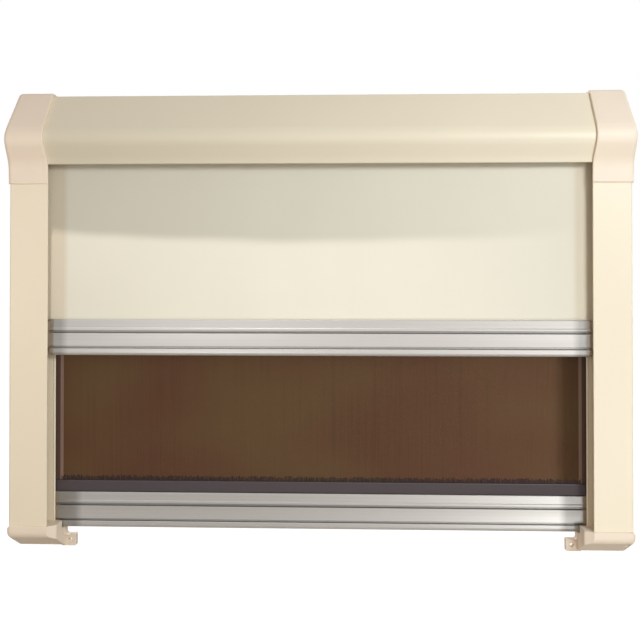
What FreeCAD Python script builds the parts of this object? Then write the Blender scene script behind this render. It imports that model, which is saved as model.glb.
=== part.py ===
"""Cassette roller blind with a night cloth and a day screen, for a small window.

Millimetres. X runs along the cassette, Y into the wall and Z up. The wall is the plane
Y = 0, the room is on the -Y side, and the origin is the middle of the cassette's back face.
"""
import FreeCAD
import Part

import math
import os

# Overall sizes
RAIL_SPAN = 640.0            # over the outer faces of the two side rails
RAIL_LENGTH = 373.0
CASSETTE_TOP = 37.5          # top of the cassette above the origin
CASSETTE_HEIGHT = 76.0
CASSETTE_TO_RAIL = 1.5       # the profiles end this far above the rails

# Fits
SLIP_FIT = 0.2               # parts that are pushed together by hand
TIGHT_FIT = 0.1              # plugs that hold by themselves
RUN_FIT = 0.05               # radial play of a shaft in its bore
SEAT_GAP = 0.3               # what rests on a stop

# Side rail
RAIL_FACE = 40.0             # width of the front wall
RAIL_WALL = 2.0
RAIL_BACK_WALL = 2.5
RAIL_CHAMBER = 18.0          # inside width of the hollow chamber
RAIL_CORNER = 2.2
PARTITION_WALL = 1.6
PARTITION_REACH = 2.0        # the partition passes the front wall by this much
PARTITION_BEAD = 1.2         # radius of the bead on its edge
BACK_FLANGE_REACH = 4.4      # the back flange passes the front wall by this much
SCREW_BLOCK = 7.0            # square corner blocks that the end screws bite into

# Cassette outline, as worn by the end caps
CAP_RISE = 3.0               # the caps stand this far outside the cover
CAP_WALL = 2.6               # side wall
CAP_SIDE_RISE = 2.0          # the caps stand this far outside the rails
CAP_REACH = 0.5              # the collars pass the rails' front walls by this much
CAP_RIM_LEAN = 4.8           # the rim over the cover leans out by this much up to the top
CAP_RIM_SWEEP = 120.0        # radius that leads from the collar into the leaning rim
CAP_RIM_ROUNDING = 1.0
COLLAR_WALL = 1.2            # front wall of the collar round the rail
COLLAR_HEIGHT = 19.0
CAP_TOP_DEPTH = 10.3         # from the wall to the start of the sloping front
CREASE_BACK = 7.6            # the crease lies this far behind the bulge
CREASE_UP = 37.8             # above the bottom edge of the cover
COVER_ROOM = 4.7             # from the wound cloth to the corner that the bulge rounds off
BULGE_UP = 25.0
TOP_ROUNDING = 6.0
CREASE_ROUNDING = 6.0
BULGE_ROUNDING = 18.0
WAIST_ROUNDING = 28.0
CAP_EDGE_ROUNDING = 5.0

# Cassette profiles
COVER_WALL = 1.5
COVER_LIP = 3.0              # the bottom edge turns inwards by this much
BACK_WALL = 2.0
BACK_TOP_DEPTH = 5.0
BACK_FOOT_DEPTH = 6.0
TONGUE_LENGTH = 2.0          # the cover's tongue under the back profile
TONGUE_ROOT = 2.3
WALL_HOLE_R = 2.25
WALL_HOLE_SPACING = 460.0
WALL_HOLE_DOWN = 16.0        # below the top of the cassette

# End brackets
BRACKET_SETBACK = 16.0       # from the rail's outer face to the inside of the bracket
BRACKET_WALL = 3.0
BRACKET_SHELF = 2.5
BRACKET_BOSS_R = 5.0
BRACKET_BOSS_H = 3.0
BRACKET_RIB_H = 12.0

# Rollers
TUBE_R = 7.5
TUBE_WALL = 1.0
TUBE_SHORT = 4.0             # from the tube's end to the bracket
FABRIC_THICKNESS = 0.25
NIGHT_ROLL_R = 8.7
SCREEN_ROLL_R = 8.1
NIGHT_ROLLER_UP = 0.75       # centre of the night roller above the cover's bulge
ROLLERS_APART = 20.0         # height between the centres of the two rollers
PLUG_DEPTH = 14.0
PLUG_FLANGE = 1.5
STUB_R = 2.5
SPINDLE_R = 2.9
SPINDLE_LENGTH = 170.0
TANG_WIDTH = 5.0
TANG_THICKNESS = 3.0
SPRING_R = 5.6
SPRING_BORE_R = 3.6
ANCHOR_LENGTH = 6.0

# Width of both fabrics
FABRIC_SHORT = 8.0           # from the fabrics' edges to the chamber wall of the rail

# Bottom bars
BAR_HEIGHT = 37.5
BAR_DEPTH = 11.0
NIGHT_FRONT_ROOM = 4.0       # from the front wall of the rail to the night bar
SCREEN_FRONT_ROOM = 0.9      # from the partition to the screen bar
BACK_ROOM = 1.0              # from each bar to the wall of the rail behind it
NIGHT_BAR_DROP = 160.0       # top of the night bar below the top of the rails
NIGHT_BAR_SHORT = 4.0        # from the bar's end to the front wall's edge
SCREEN_BAR_SHORT = 5.0
SLOT_HALF_WIDTH = 0.8
SLOT_DEPTH = 3.2
POCKET_R = 3.0
ROD_R = 2.6
GROOVE_1_TOP = 11.3
GROOVE_1_HEIGHT = 2.8
GROOVE_1_DEPTH = 2.8
GROOVE_2_TOP = 27.6
GROOVE_2_HEIGHT = 2.4
GROOVE_2_DEPTH = 2.4
BAR_WALL = 1.2

# Gliders and brake springs
HEAD_LENGTH = 5.0
SHOE_END_GAP = 1.5           # from the shoe to the chamber wall of the rail
SHOE_PLAY = 0.5
SHOE_TOP_DOWN = 1.5
SHOE_HEIGHT = 27.7
BAR_PLUG_LENGTH = 15.0
LEAF_THICKNESS = 0.4
LEAF_WIDTH = 6.0
LEAF_HEIGHT = 22.0
LEAF_POCKET_DEPTH = 2.0

# Clamp strip between the mesh and its bar
STRIP_HEIGHT = 11.7
STRIP_DEPTH = 5.2
STRIP_GRIP = 6.5

# Feet
FOOT_FACE = 10.5             # height of the upright part of the front
FOOT_HEIGHT = 29.5
FOOT_RISE = 2.0              # the foot stands this far outside the rail
FOOT_TOP_WALL = 2.5
FOOT_WALL = 2.2
FOOT_SIDE_WALL = 3.2
FOOT_INNER = 9.0             # the foot reaches this far past the front wall's edge
FOOT_CHAMFER = 6.0           # the front falls back by this much over that reach
FOOT_CORNER = 5.0
FOOT_FRONT_ROUNDING = 9.0
EAR_REACH = 11.5             # from the foot's inner side to the ear's tip
EAR_HEIGHT = 12.5
EAR_THICKNESS = 6.0
EAR_WEB_DEPTH = 9.0          # depth of the web between the foot and the ear
EAR_HOLE_R = 2.1
EAR_HOLE_IN = 6.0            # from the ear's tip to the hole
DRIVER_HOLE_R = 3.2

# Screws
SCREW_R = 1.5
SCREW_LENGTH = 16.0
SCREW_HEAD_R = 2.9
SCREW_HEAD_H = 1.8
SCREW_HOLE_R = 1.8

# Worked out from the sizes above
V = FreeCAD.Vector
rail_x = RAIL_SPAN / 2
face_x = rail_x - RAIL_FACE
chamber_x = rail_x - RAIL_WALL - RAIL_CHAMBER
web_x = chamber_x - RAIL_WALL
fabric_x = web_x - FABRIC_SHORT
cassette_bottom = CASSETTE_TOP - CASSETTE_HEIGHT
rail_top = cassette_bottom - CASSETTE_TO_RAIL
rail_bottom = rail_top - RAIL_LENGTH
screen_channel_back = -RAIL_BACK_WALL
screen_plane = RAIL_BACK_WALL + BACK_ROOM + BAR_DEPTH / 2
screen_channel_front = -(screen_plane + BAR_DEPTH / 2 + SCREEN_FRONT_ROOM)
night_channel_back = screen_channel_front - PARTITION_WALL
night_plane = -night_channel_back + BACK_ROOM + BAR_DEPTH / 2
night_channel_front = -(night_plane + BAR_DEPTH / 2 + NIGHT_FRONT_ROOM)
rail_depth = RAIL_WALL - night_channel_front
cap_x = rail_x + CAP_SIDE_RISE
bracket_x = rail_x - BRACKET_SETBACK
bore_r = SCREW_R + RUN_FIT
night_roller_y = -(night_plane + NIGHT_ROLL_R + FABRIC_THICKNESS / 2 + SEAT_GAP)
night_roller_z = cassette_bottom + BULGE_UP + NIGHT_ROLLER_UP
screen_roller_y = -(screen_plane + SCREEN_ROLL_R + FABRIC_THICKNESS / 2 + SEAT_GAP)
screen_roller_z = night_roller_z + ROLLERS_APART
bulge_depth = NIGHT_ROLL_R - night_roller_y + COVER_ROOM + COVER_WALL + CAP_RISE
crease_depth = bulge_depth - CREASE_BACK
night_bar_top = rail_top - NIGHT_BAR_DROP
screen_bar_top = rail_bottom + SEAT_GAP + SHOE_TOP_DOWN + SHOE_HEIGHT
night_bar_x = face_x - NIGHT_BAR_SHORT
screen_bar_x = face_x - SCREEN_BAR_SHORT
shoe_x = web_x - SHOE_END_GAP
pocket_down = SLOT_DEPTH + math.sqrt(POCKET_R ** 2 - SLOT_HALF_WIDTH ** 2)
foot_x = rail_x + FOOT_RISE
foot_inner_x = face_x - FOOT_INNER
foot_bottom = rail_bottom - FOOT_HEIGHT
ear_tip_x = foot_inner_x - EAR_REACH


def along_x(y, z):
    return V(0, y, z)


def along_y(x, z):
    return V(x, 0, z)


def along_z(x, y):
    return V(x, y, 0)


def outline(corners, place):
    """A closed wire through corners (a, b, radius), each rounded by its radius."""
    ends = []
    edges = []
    for i, (a, b, radius) in enumerate(corners):
        here = place(a, b)
        before = place(*corners[i - 1][:2]) - here
        after = place(*corners[(i + 1) % len(corners)][:2]) - here
        before.normalize()
        after.normalize()
        half = before.getAngle(after) / 2
        if radius <= 0 or half > math.radians(89.9):
            ends.append((here, here))
            continue
        run = radius / math.tan(half)
        middle = (before + after).normalize() * (radius / math.sin(half) - radius)
        start = here + before * run
        stop = here + after * run
        edges.append(Part.Arc(start, here + middle, stop).toShape())
        ends.append((start, stop))
    for i in range(len(ends)):
        start = ends[i - 1][1]
        stop = ends[i][0]
        if start.distanceToPoint(stop) > 1e-6:
            edges.append(Part.LineSegment(start, stop).toShape())
    return Part.Wire(Part.__sortEdges__(edges))


def inset(corners, distance):
    """The same outline with every side moved inwards and its roundings kept concentric."""
    count = len(corners)
    area = sum(
        corners[i - 1][0] * corners[i][1] - corners[i][0] * corners[i - 1][1] for i in range(count)
    )
    turn = 1 if area > 0 else -1
    moved = []
    for i, (a, b, radius) in enumerate(corners):
        pa, pb = corners[i - 1][:2]
        na, nb = corners[(i + 1) % count][:2]
        into = math.hypot(a - pa, b - pb)
        out = math.hypot(na - a, nb - b)
        ia, ib = (a - pa) / into, (b - pb) / into
        oa, ob = (na - a) / out, (nb - b) / out
        cross = ia * ob - ib * oa
        shift = distance * turn
        # The corner moves to where its two shifted sides meet
        slide = math.tan(math.atan2(cross, ia * oa + ib * ob) / 2) * shift
        new_a = a - ib * shift - ia * slide
        new_b = b + ia * shift - ib * slide
        convex = cross * turn > 0
        new_radius = 0
        if radius > 0:
            new_radius = max(radius - distance, 0.2) if convex else radius + distance
        moved.append((new_a, new_b, new_radius))
    return moved


def prism_x(corners, x0, x1):
    face = Part.Face(outline(corners, along_x))
    return face.extrude(V(x1 - x0, 0, 0)).translate(V(x0, 0, 0))


def prism_y(corners, y0, y1):
    face = Part.Face(outline(corners, along_y))
    return face.extrude(V(0, y1 - y0, 0)).translate(V(0, y0, 0))


def prism_z(corners, z0, z1):
    face = Part.Face(outline(corners, along_z))
    return face.extrude(V(0, 0, z1 - z0)).translate(V(0, 0, z0))


def block(x0, x1, y0, y1, z0, z1):
    low = V(min(x0, x1), min(y0, y1), min(z0, z1))
    return Part.makeBox(abs(x1 - x0), abs(y1 - y0), abs(z1 - z0), low)


def rod_x(radius, x0, x1, y, z):
    return Part.makeCylinder(radius, x1 - x0, V(x0, y, z), V(1, 0, 0))


def rod_z(radius, z0, z1, x, y):
    return Part.makeCylinder(radius, z1 - z0, V(x, y, z0), V(0, 0, 1))


def rectangle(a0, a1, b0, b1, radius):
    return [(a0, b0, radius), (a1, b0, radius), (a1, b1, radius), (a0, b1, radius)]


def mirrored(shape):
    return shape.mirror(V(0, 0, 0), V(1, 0, 0))


def edges_on(shape, test):
    """The edges of a solid whose points all pass the test."""
    found = []
    for edge in shape.Edges:
        points = edge.discretize(5)
        if all(test(point) for point in points):
            found.append(edge)
    return found


# Outline of the cassette, seen from the side
cap_outline = [
    (0, CASSETTE_TOP + CAP_RISE, 0),
    (-CAP_TOP_DEPTH, CASSETTE_TOP + CAP_RISE, TOP_ROUNDING),
    (-crease_depth, cassette_bottom + CREASE_UP, CREASE_ROUNDING),
    (-bulge_depth, cassette_bottom + BULGE_UP, BULGE_ROUNDING),
    (-(rail_depth + SLIP_FIT + COLLAR_WALL + 0.8), cassette_bottom, WAIST_ROUNDING),
    (-(rail_depth + SLIP_FIT + COLLAR_WALL), rail_top - COLLAR_HEIGHT, 0),
    (0, rail_top - COLLAR_HEIGHT, 0),
]
cover_outside = inset(cap_outline, CAP_RISE)
cover_inside = inset(cap_outline, CAP_RISE + COVER_WALL)
screw_ports = [
    (-(BACK_WALL + SCREW_BLOCK / 2), CASSETTE_TOP - SCREW_BLOCK),
    (-(BACK_WALL + SCREW_BLOCK / 2 - 0.8), cassette_bottom + SCREW_BLOCK),
]
rail_ports = [
    (rail_x - RAIL_WALL - SCREW_BLOCK / 2, -(RAIL_BACK_WALL + SCREW_BLOCK / 2)),
    (rail_x - RAIL_WALL - SCREW_BLOCK / 2, night_channel_front + SCREW_BLOCK / 2),
]


def back_profile():
    """Extruded back of the cassette: wall, top hook, stiffened foot and two screw ports."""
    corners = [
        (0, CASSETTE_TOP, 0),
        (-BACK_TOP_DEPTH, CASSETTE_TOP, 0.3),
        (-BACK_TOP_DEPTH, CASSETTE_TOP - COVER_WALL, 0.3),
        (-BACK_WALL, CASSETTE_TOP - COVER_WALL, 0.5),
        (-BACK_WALL, cassette_bottom + COVER_WALL, 0.5),
        (-BACK_FOOT_DEPTH, cassette_bottom + COVER_WALL, 0.3),
        (-BACK_FOOT_DEPTH, cassette_bottom, 0.5),
        (0, cassette_bottom, 0),
    ]
    solid = prism_x(corners, -bracket_x, bracket_x)
    for y, z in screw_ports:
        reach = bore_r + 1.3
        port = rectangle(-BACK_WALL + 0.5, y - reach, z - reach, z + reach, 0)
        solid = solid.fuse(prism_x(port, -bracket_x, bracket_x))
    for y, z in screw_ports:
        solid = solid.cut(rod_x(bore_r, -bracket_x, bracket_x, y, z))
    for side in (-1, 1):
        hole = Part.makeCylinder(
            WALL_HOLE_R,
            BACK_WALL + 2,
            V(side * WALL_HOLE_SPACING / 2, -BACK_WALL - 1, CASSETTE_TOP - WALL_HOLE_DOWN),
            V(0, 1, 0),
        )
        solid = solid.cut(hole)
    return solid.removeSplitter()


def front_cover():
    """Clip-on cover: sloping front, crease, bulge, a lip below and a tongue behind."""
    outer = prism_x(cover_outside, -bracket_x, bracket_x)
    inner = prism_x(cover_inside, -bracket_x - 1, bracket_x + 1)
    shell = outer.cut(inner)
    shell_start = -(BACK_TOP_DEPTH + TIGHT_FIT)
    keep = block(-rail_x, rail_x, -RAIL_SPAN, shell_start, cassette_bottom, CASSETTE_TOP + 1)
    solid = shell.common(keep)
    tongue_top = CASSETTE_TOP - COVER_WALL - TIGHT_FIT
    tongue = [
        (shell_start - TONGUE_ROOT, tongue_top + COVER_WALL / 2, 0),
        (shell_start, tongue_top + COVER_WALL / 2, 0),
        (shell_start, tongue_top, 0),
        (shell_start + TONGUE_LENGTH, tongue_top, 0.3),
        (shell_start + TONGUE_LENGTH, tongue_top - COVER_WALL, 0.6),
        (shell_start - TONGUE_ROOT, tongue_top - COVER_WALL, 0),
    ]
    solid = solid.fuse(prism_x(tongue, -bracket_x, bracket_x))
    lip_y = -(rail_depth + SLIP_FIT + COLLAR_WALL + 0.8 - CAP_RISE)
    lip = rectangle(lip_y + 0.4, lip_y + COVER_LIP + COVER_WALL, cassette_bottom,
                    cassette_bottom + COVER_WALL, 0.4)
    return solid.fuse(prism_x(lip, -bracket_x, bracket_x)).removeSplitter()


def rounded_cap_edges(shell, radius, test):
    """The cap with its edges that pass the test rounded, apart from those on its back and bottom."""
    edges = edges_on(shell, test)
    edges = [e for e in edges if min(v.Y for v in e.Vertexes) < -1]
    edges = [e for e in edges if max(v.Z for v in e.Vertexes) > rail_top - COLLAR_HEIGHT + 1]
    return shell.makeFillet(radius, edges)


def end_cap():
    """Moulded cap over the right end of the cassette, with a collar round the rail's top."""
    collar_x = face_x - CAP_REACH
    cap_top = CASSETTE_TOP + CAP_RISE
    front_view = [
        (collar_x, rail_top - COLLAR_HEIGHT - 1, 0),
        (collar_x, cassette_bottom, CAP_RIM_SWEEP),
        (collar_x + CAP_RIM_LEAN, cap_top, 0),
        (collar_x + CAP_RIM_LEAN, cap_top + 1, 0),
        (cap_x, cap_top + 1, 0),
        (cap_x, rail_top - COLLAR_HEIGHT - 1, 0),
    ]
    shell = prism_x(cap_outline, collar_x - 1, cap_x).common(prism_y(front_view, -RAIL_SPAN, 1))
    rim_x = collar_x + CAP_RIM_LEAN
    shell = rounded_cap_edges(shell, CAP_EDGE_ROUNDING, lambda p: p.x > cap_x - 0.01)
    shell = rounded_cap_edges(shell, CAP_RIM_ROUNDING, lambda p: p.x < rim_x + 0.01)
    hollow = prism_x(inset(cap_outline, CAP_RISE - SLIP_FIT), face_x - 1, cap_x - CAP_WALL)
    hollow = hollow.common(block(0, cap_x, -RAIL_SPAN, 0, rail_top - 1, CASSETTE_TOP + CAP_RISE))
    open_back = block(face_x - 1, cap_x - CAP_WALL, -BACK_TOP_DEPTH, 1, rail_top - 1,
                      CASSETTE_TOP + SLIP_FIT)
    rail_front = -(rail_depth + SLIP_FIT)
    rail_plan = [
        (face_x - 1, rail_front, 0),
        (rail_x + SLIP_FIT, rail_front, RAIL_CORNER + SLIP_FIT),
        (rail_x + SLIP_FIT, 1, 0),
        (face_x - 1, 1, 0),
    ]
    rail_space = prism_z(rail_plan, rail_top - COLLAR_HEIGHT - 1, rail_top)
    return shell.cut(hollow).cut(open_back).cut(rail_space).removeSplitter()


def end_bracket(side, tang_centre, stub_centre):
    """Bracket inside a cap: closes the cassette, carries both rollers and stands on the rail."""
    plate = prism_x(cover_outside, bracket_x, bracket_x + BRACKET_WALL)
    plate = plate.common(block(0, rail_x, -RAIL_SPAN, 1, rail_top, CASSETTE_TOP + 1))
    shelf_end = cap_x - CAP_WALL - SEAT_GAP
    shelf = block(bracket_x, shelf_end, night_channel_front, -BACK_WALL, rail_top,
                  rail_top + BRACKET_SHELF)
    rib_y = (night_channel_front - BACK_WALL) / 2
    rib = [
        (bracket_x + BRACKET_WALL / 2, rail_top + BRACKET_SHELF / 2, 0),
        (shelf_end, rail_top + BRACKET_SHELF / 2, 0),
        (shelf_end, rail_top + BRACKET_SHELF, 0),
        (bracket_x + BRACKET_WALL, rail_top + BRACKET_SHELF + BRACKET_RIB_H, 0),
        (bracket_x + BRACKET_WALL / 2, rail_top + BRACKET_SHELF + BRACKET_RIB_H, 0),
    ]
    solid = plate.fuse([shelf, prism_y(rib, rib_y - 1, rib_y + 1)])
    far = bracket_x + BRACKET_WALL + BRACKET_BOSS_H
    for y, z in (tang_centre, stub_centre):
        solid = solid.fuse(rod_x(BRACKET_BOSS_R, bracket_x, far, y, z))
    y, z = tang_centre
    half_width = TANG_WIDTH / 2 + TIGHT_FIT
    half_thick = TANG_THICKNESS / 2 + TIGHT_FIT
    solid = solid.cut(block(bracket_x - 1, far + 1, y - half_width, y + half_width,
                            z - half_thick, z + half_thick))
    y, z = stub_centre
    solid = solid.cut(rod_x(STUB_R + RUN_FIT, bracket_x - 1, far + 1, y, z))
    for y, z in screw_ports:
        solid = solid.cut(rod_x(SCREW_HOLE_R, bracket_x - 1, far + 1, y, z))
    for x, y in rail_ports:
        solid = solid.cut(rod_z(SCREW_HOLE_R, rail_top - 1, rail_top + BRACKET_SHELF + 1, x, y))
    solid = solid.removeSplitter()
    return solid if side > 0 else mirrored(solid)


def side_rail():
    """Extruded right rail: hollow chamber, night channel in front, screen channel behind."""
    back_x = face_x - BACK_FLANGE_REACH
    lip_x = face_x - PARTITION_REACH + PARTITION_BEAD
    corners = [
        (rail_x, 0, 0.8),
        (rail_x, -rail_depth, RAIL_CORNER),
        (face_x, -rail_depth, 0.8),
        (face_x, night_channel_front, 0.6),
        (web_x, night_channel_front, 0.5),
        (web_x, night_channel_back, 0.5),
        (lip_x, night_channel_back, 0),
        (lip_x, screen_channel_front, 0),
        (web_x, screen_channel_front, 0.5),
        (web_x, screen_channel_back, 0.5),
        (back_x, screen_channel_back, 0.6),
        (back_x, 0, 0.6),
    ]
    solid = prism_z(corners, rail_bottom, rail_top)
    bead_y = (night_channel_back + screen_channel_front) / 2
    solid = solid.fuse(rod_z(PARTITION_BEAD, rail_bottom, rail_top, lip_x, bead_y))
    chamber = rectangle(chamber_x, rail_x - RAIL_WALL, night_channel_front, -RAIL_BACK_WALL, 0.8)
    solid = solid.cut(prism_z(chamber, rail_bottom - 1, rail_top + 1))
    for x, y in rail_ports:
        inner_x = x - SCREW_BLOCK / 2
        towards_wall = 1 if y > -rail_depth / 2 else -1
        inner_y = y - towards_wall * SCREW_BLOCK / 2
        wall_y = y + towards_wall * (SCREW_BLOCK / 2 + 1)
        port = [
            (inner_x, inner_y, 1.0),
            (rail_x - 1, inner_y, 0),
            (rail_x - 1, wall_y, 0),
            (inner_x, wall_y, 0),
        ]
        solid = solid.fuse(prism_z(port, rail_bottom, rail_top))
    for x, y in rail_ports:
        solid = solid.cut(rod_z(bore_r, rail_bottom - 1, rail_top + 1, x, y))
    return solid.removeSplitter()


def foot():
    """Moulded right foot: closes the rail, stops both bars and carries a fixing ear."""
    front_y = -(rail_depth + FOOT_RISE)
    side_view = [
        (0, rail_bottom, 0),
        (front_y, rail_bottom, 0.8),
        (front_y, rail_bottom - FOOT_FACE, FOOT_FRONT_ROUNDING),
        (-8.0, foot_bottom + 0.8, 12.0),
        (0, foot_bottom, 0),
    ]
    shell = prism_x(side_view, foot_inner_x, foot_x)
    low_edges = edges_on(shell, lambda p: p.x > foot_x - 0.01 and p.z < rail_bottom - 0.5)
    low_edges = [e for e in low_edges if min(v.Y for v in e.Vertexes) < -0.5]
    shell = shell.makeFillet(FOOT_CORNER, low_edges)
    plan_view = [
        (foot_x + 1, 1, 0),
        (foot_x + 1, front_y - 1, 0),
        (face_x, front_y - 1, 0),
        (face_x, front_y, 3.0),
        (foot_inner_x, front_y + FOOT_CHAMFER, 2.5),
        (foot_inner_x, 1, 0),
    ]
    shell = shell.common(prism_z(plan_view, foot_bottom - 1, rail_bottom + 1))
    # The screen bar comes down beside the back channel
    bar_bottom = screen_bar_top - BAR_HEIGHT - SEAT_GAP
    shell = shell.cut(block(foot_inner_x - 1, face_x + 0.5, screen_channel_front, 1, bar_bottom,
                            rail_bottom + 1))
    inside = inset(side_view, FOOT_WALL)
    pocket = prism_x(inside, face_x + 3, foot_x - FOOT_SIDE_WALL)
    pocket = pocket.common(block(0, foot_x, -RAIL_SPAN, 0, foot_bottom, rail_bottom - FOOT_TOP_WALL))
    pocket = pocket.fuse(pocket.translated(V(0, FOOT_WALL + 1, 0)))
    middle_x = (face_x + foot_x) / 2 - 3
    rib = block(middle_x - 1, middle_x + 1, -RAIL_SPAN, 1, foot_bottom - 1, rail_bottom)
    shell = shell.cut(pocket.cut(rib))
    ear_z = foot_bottom + EAR_HEIGHT / 2 - 0.5
    ear = rectangle(ear_tip_x, foot_inner_x + 4, ear_z - EAR_HEIGHT / 2, ear_z + EAR_HEIGHT / 2, 1.0)
    ear_top = ear_z + EAR_HEIGHT / 2
    web_start = foot_inner_x + 1
    gusset = [
        (web_start, bar_bottom, 0),
        (foot_inner_x - 0.5, bar_bottom, 0.4),
        (foot_inner_x - 0.5, ear_top, 2.6),
        (foot_inner_x - 4.5, ear_top, 0),
        (foot_inner_x - 4.5, ear_top - 1, 0),
        (web_start, ear_top - 1, 0),
    ]
    solid = shell.fuse([prism_y(ear, -EAR_THICKNESS, 0), prism_y(gusset, -EAR_WEB_DEPTH, 0)])
    hole_x = ear_tip_x + EAR_HOLE_IN
    ear_hole = Part.makeCylinder(EAR_HOLE_R, EAR_THICKNESS + 2, V(hole_x, 1, ear_z), V(0, -1, 0))
    solid = solid.cut(ear_hole)
    for x, y in rail_ports:
        solid = solid.cut(rod_z(SCREW_HOLE_R, rail_bottom - FOOT_TOP_WALL - 1, rail_bottom + 1, x, y))
        solid = solid.cut(rod_z(DRIVER_HOLE_R, foot_bottom - 1, rail_bottom - FOOT_TOP_WALL, x, y))
    return solid.removeSplitter()


def screw(tip, direction):
    """Pan-head screw whose head seats at tip and whose shank runs along direction."""
    shank = Part.makeCylinder(SCREW_R, SCREW_LENGTH, tip, direction)
    head = Part.makeCylinder(SCREW_HEAD_R, SCREW_HEAD_H, tip - direction * SCREW_HEAD_H, direction)
    return shank.fuse(head)


def cassette_screws():
    seat = bracket_x + BRACKET_WALL
    right = [screw(V(seat, y, z), V(-1, 0, 0)) for y, z in screw_ports]
    return Part.makeCompound(right + [mirrored(s) for s in right])


def bracket_screws():
    seat = rail_top + BRACKET_SHELF
    right = [screw(V(x, y, seat), V(0, 0, -1)) for x, y in rail_ports]
    return Part.makeCompound(right + [mirrored(s) for s in right])


def foot_screws():
    seat = rail_bottom - FOOT_TOP_WALL
    right = [screw(V(x, y, seat), V(0, 0, 1)) for x, y in rail_ports]
    return Part.makeCompound(right + [mirrored(s) for s in right])


def roller(y, z, roll_r):
    """Tube, wound fabric, two end plugs and spring of a roller whose spring is at the right."""
    tube_x = bracket_x - TUBE_SHORT
    inside_r = TUBE_R - TUBE_WALL
    tube = rod_x(TUBE_R, -tube_x, tube_x, y, z).cut(rod_x(inside_r, -tube_x, tube_x, y, z))
    roll = rod_x(roll_r, -fabric_x, fabric_x, y, z)
    roll = roll.cut(rod_x(TUBE_R + RUN_FIT, -fabric_x, fabric_x, y, z))
    flange_x = tube_x + PLUG_FLANGE
    plug = rod_x(TUBE_R - 0.2, tube_x, flange_x, y, z)
    plug = plug.fuse(rod_x(inside_r - TIGHT_FIT, tube_x - PLUG_DEPTH, tube_x, y, z))
    stub_end = bracket_x + BRACKET_WALL + BRACKET_BOSS_H
    idle_plug = mirrored(plug.fuse(rod_x(STUB_R, tube_x, stub_end, y, z)).removeSplitter())
    spring_plug = plug.cut(rod_x(SPINDLE_R + RUN_FIT, 0, flange_x + 1, y, z))
    spring_start = bracket_x - SPINDLE_LENGTH + ANCHOR_LENGTH + SEAT_GAP
    spring_end = tube_x - PLUG_DEPTH
    spring = rod_x(SPRING_R, spring_start, spring_end, y, z)
    spring = spring.cut(rod_x(SPRING_BORE_R, spring_start, spring_end, y, z))
    return {
        "roller_tube": tube,
        "fabric_roll": roll,
        "spring_plug": spring_plug,
        "idle_plug": idle_plug,
        "torsion_spring": spring,
    }


def spindle(y, z):
    """Fixed spindle at the right: flat tang in the bracket, rod, and anchor for the spring."""
    start = bracket_x - SPINDLE_LENGTH
    end = bracket_x - SEAT_GAP
    rod = rod_x(SPINDLE_R, start, end, y, z)
    anchor = rod_x(TUBE_R - TUBE_WALL - SEAT_GAP, start, start + ANCHOR_LENGTH, y, z)
    tang = block(end - 1, bracket_x + BRACKET_WALL + BRACKET_BOSS_H, y - TANG_WIDTH / 2,
                 y + TANG_WIDTH / 2, z - TANG_THICKNESS / 2, z + TANG_THICKNESS / 2)
    return rod.fuse([anchor, tang]).removeSplitter()


def bar_outline():
    """Section of a bottom bar: flat top face with a ridge, two grooves, a hollow face, a lip."""
    front = -BAR_DEPTH / 2
    back = BAR_DEPTH / 2
    groove_1_end = -(GROOVE_1_TOP + GROOVE_1_HEIGHT)
    groove_2_end = -(GROOVE_2_TOP + GROOVE_2_HEIGHT)
    face_middle = (groove_1_end - GROOVE_2_TOP) / 2
    return [
        (front + 1.1, 0, 0.8),
        (front + 1.1, -GROOVE_1_TOP + 2.9, 0.5),
        (front + 0.3, -GROOVE_1_TOP + 2.1, 0.5),
        (front + 0.3, -GROOVE_1_TOP, 0.3),
        (front + 0.3 + GROOVE_1_DEPTH, -GROOVE_1_TOP, 0.3),
        (front + 0.3 + GROOVE_1_DEPTH, groove_1_end, 0.3),
        (front, groove_1_end, 0.4),
        (front + 0.6, face_middle, 70.0),
        (front, -GROOVE_2_TOP, 0.4),
        (front + GROOVE_2_DEPTH, -GROOVE_2_TOP, 0.2),
        (front + GROOVE_2_DEPTH, groove_2_end, 0.2),
        (front + 0.2, groove_2_end, 0.8),
        (front + 0.2, -BAR_HEIGHT, 4.2),
        (back, -BAR_HEIGHT, 4.2),
        (back, 0, 0.8),
    ]


def bar_chamber():
    """Section of the bar's hollow, which steps round the upper groove."""
    front = -BAR_DEPTH / 2 + 0.6 + BAR_WALL
    back = BAR_DEPTH / 2 - BAR_WALL
    step_y = -BAR_DEPTH / 2 + 0.3 + GROOVE_1_DEPTH + BAR_WALL
    step_z = -(GROOVE_1_TOP + GROOVE_1_HEIGHT + BAR_WALL)
    top = -(pocket_down + POCKET_R + BAR_WALL)
    bottom = -(GROOVE_2_TOP - BAR_WALL)
    return [
        (front, bottom, 0.8),
        (back, bottom, 0.8),
        (back, top, 0.8),
        (step_y, top, 0.8),
        (step_y, step_z, 0.3),
        (front, step_z, 0.8),
    ]


def place_section(corners, plane, top):
    return [(y - plane, z + top, radius) for y, z, radius in corners]


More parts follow.
